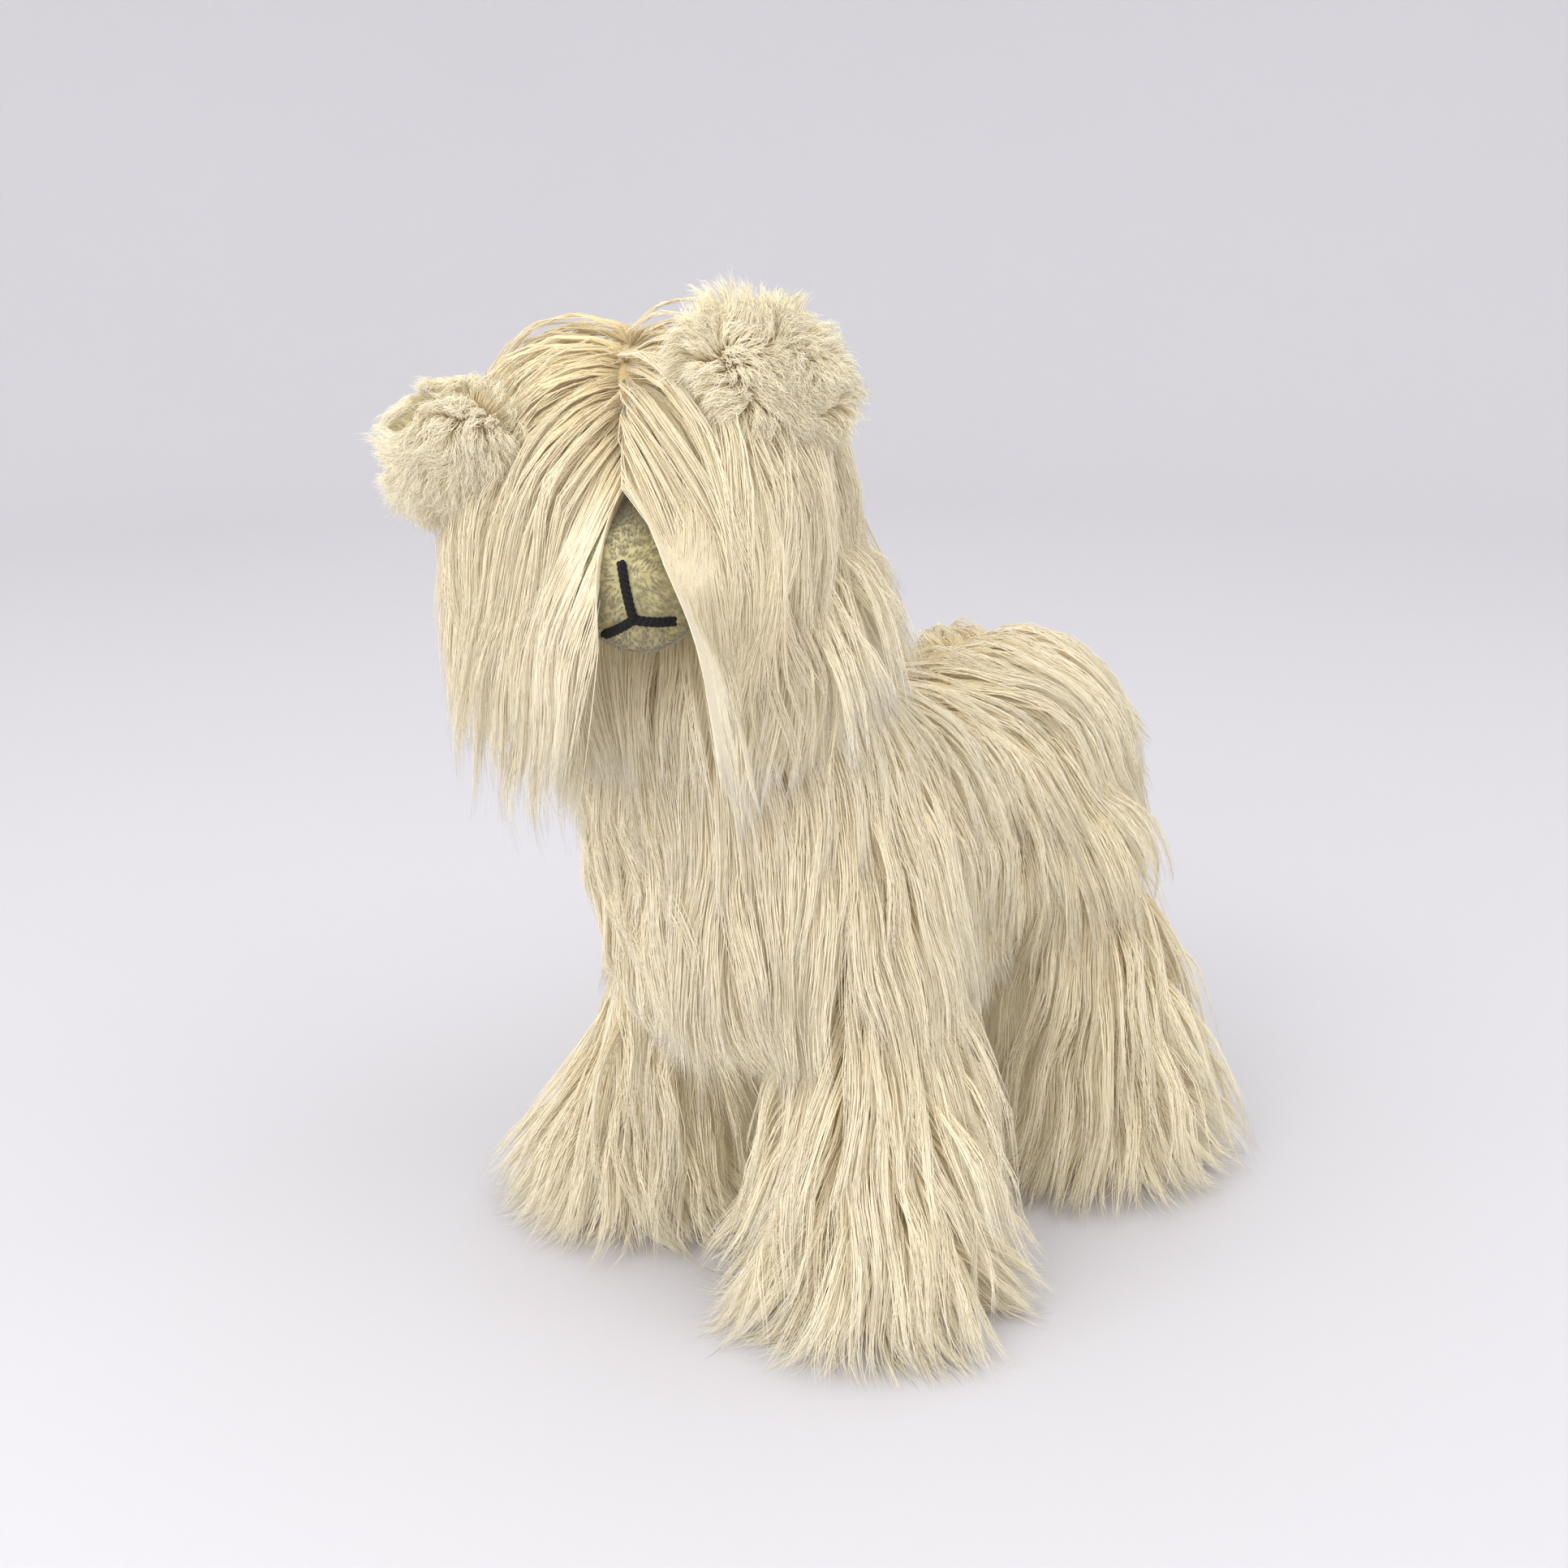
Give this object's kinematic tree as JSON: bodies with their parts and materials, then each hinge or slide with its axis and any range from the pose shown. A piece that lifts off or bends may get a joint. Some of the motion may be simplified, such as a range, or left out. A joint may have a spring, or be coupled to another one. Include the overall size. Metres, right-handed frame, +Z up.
{
  "type": "plush dog",
  "caption": "Standing long-haired cream plush dog with a muzzle in short pile, floppy ears, sewn-in legs and a head that swivels on a disc joint.",
  "frame": {"origin": "on the floor, under the middle of the toy's box", "axes": "+Z up; the body faces -Y and its left side is +X; at rest the head is turned 37 degrees to its left"},
  "size_m": [0.16, 0.265, 0.251],
  "materials": {
    "coat": "long silky pile",
    "fringe": "extra long silky pile",
    "belly": "shorter pile",
    "ear_lining": "curly short pile",
    "muzzle": "short napped plush",
    "sole": "brushed cloth",
    "stuffing": "fibre fill",
    "thread": "embroidery thread",
    "eye": "polished",
    "eye_lock": "moulded",
    "fibreboard": "pressed fibre",
    "steel": "zinc plated"
  },
  "bodies": {
    "torso": {"side_panel_left": "coat", "side_panel_right": "coat", "belly_gusset": "belly", "torso_stuffing": "stuffing", "neck_disc_torso": "fibreboard", "neck_washer_torso": "steel", "neck_cotter_pin": "steel"},
    "head": {"head_panel_left": "coat", "head_panel_right": "coat", "fringe_left": "fringe", "fringe_right": "fringe", "head_stuffing": "stuffing", "muzzle_cover": "muzzle", "muzzle_stuffing": "stuffing", "nose_stitch": "thread", "mouth_stitch_left": "thread", "mouth_stitch_right": "thread", "eye_left": "eye", "eye_right": "eye", "eye_lock_left": "eye_lock", "eye_lock_right": "eye_lock", "neck_disc_head": "fibreboard", "neck_washer_head": "steel"},
    "ear_left": {"ear_left_back": "coat", "ear_left_lining": "ear_lining"},
    "ear_right": {"ear_right_back": "coat", "ear_right_lining": "ear_lining"},
    "leg_front_left": {"leg_front_left_outer": "coat", "leg_front_left_inner": "coat", "leg_front_left_stuffing": "stuffing", "leg_front_left_sole": "sole"},
    "leg_front_right": {"leg_front_right_outer": "coat", "leg_front_right_inner": "coat", "leg_front_right_stuffing": "stuffing", "leg_front_right_sole": "sole"},
    "leg_rear_left": {"leg_rear_left_outer": "coat", "leg_rear_left_inner": "coat", "leg_rear_left_stuffing": "stuffing", "leg_rear_left_sole": "sole"},
    "leg_rear_right": {"leg_rear_right_outer": "coat", "leg_rear_right_inner": "coat", "leg_rear_right_stuffing": "stuffing", "leg_rear_right_sole": "sole"},
    "tail": {"tail_plush": "coat", "tail_stuffing": "stuffing"}
  },
  "joints": [
    {"name": "neck_swivel", "type": "hinge", "parent": "torso", "child": "head", "pos_m": [0, -0.0636, 0.18], "axis": [0, -0.3584, 0.9336], "range_deg": [-82, 8]},
    {"name": "ear_left_flop", "type": "hinge", "parent": "head", "child": "ear_left", "pos_m": [0.03663, -0.07645, 0.22945], "axis": [0.3169, 0.8294, -0.46], "range_deg": [-4, 50], "stiffness_Nm_per_rad": 0.02},
    {"name": "ear_right_flop", "type": "hinge", "parent": "head", "child": "ear_right", "pos_m": [-0.0156, -0.1132, 0.21535], "axis": [0.6732, -0.1329, 0.7274], "range_deg": [-30, 25], "stiffness_Nm_per_rad": 0.02},
    {"name": "leg_front_left_swing", "type": "hinge", "parent": "torso", "child": "leg_front_left", "pos_m": [0.041, -0.0441, 0.086], "axis": [1, 0, 0], "range_deg": [-8, 8], "stiffness_Nm_per_rad": 1.5},
    {"name": "leg_front_right_swing", "type": "hinge", "parent": "torso", "child": "leg_front_right", "pos_m": [-0.041, -0.0441, 0.086], "axis": [1, 0, 0], "range_deg": [-8, 8], "stiffness_Nm_per_rad": 1.5},
    {"name": "leg_rear_left_swing", "type": "hinge", "parent": "torso", "child": "leg_rear_left", "pos_m": [0.041, 0.0609, 0.086], "axis": [1, 0, 0], "range_deg": [-8, 8], "stiffness_Nm_per_rad": 1.5},
    {"name": "leg_rear_right_swing", "type": "hinge", "parent": "torso", "child": "leg_rear_right", "pos_m": [-0.041, 0.0609, 0.086], "axis": [1, 0, 0], "range_deg": [-8, 8], "stiffness_Nm_per_rad": 1.5},
    {"name": "tail_wag", "type": "hinge", "parent": "torso", "child": "tail", "pos_m": [0, 0.1084, 0.12], "axis": [0, 1, 0], "range_deg": [-15, 15], "stiffness_Nm_per_rad": 0.03}
  ]
}
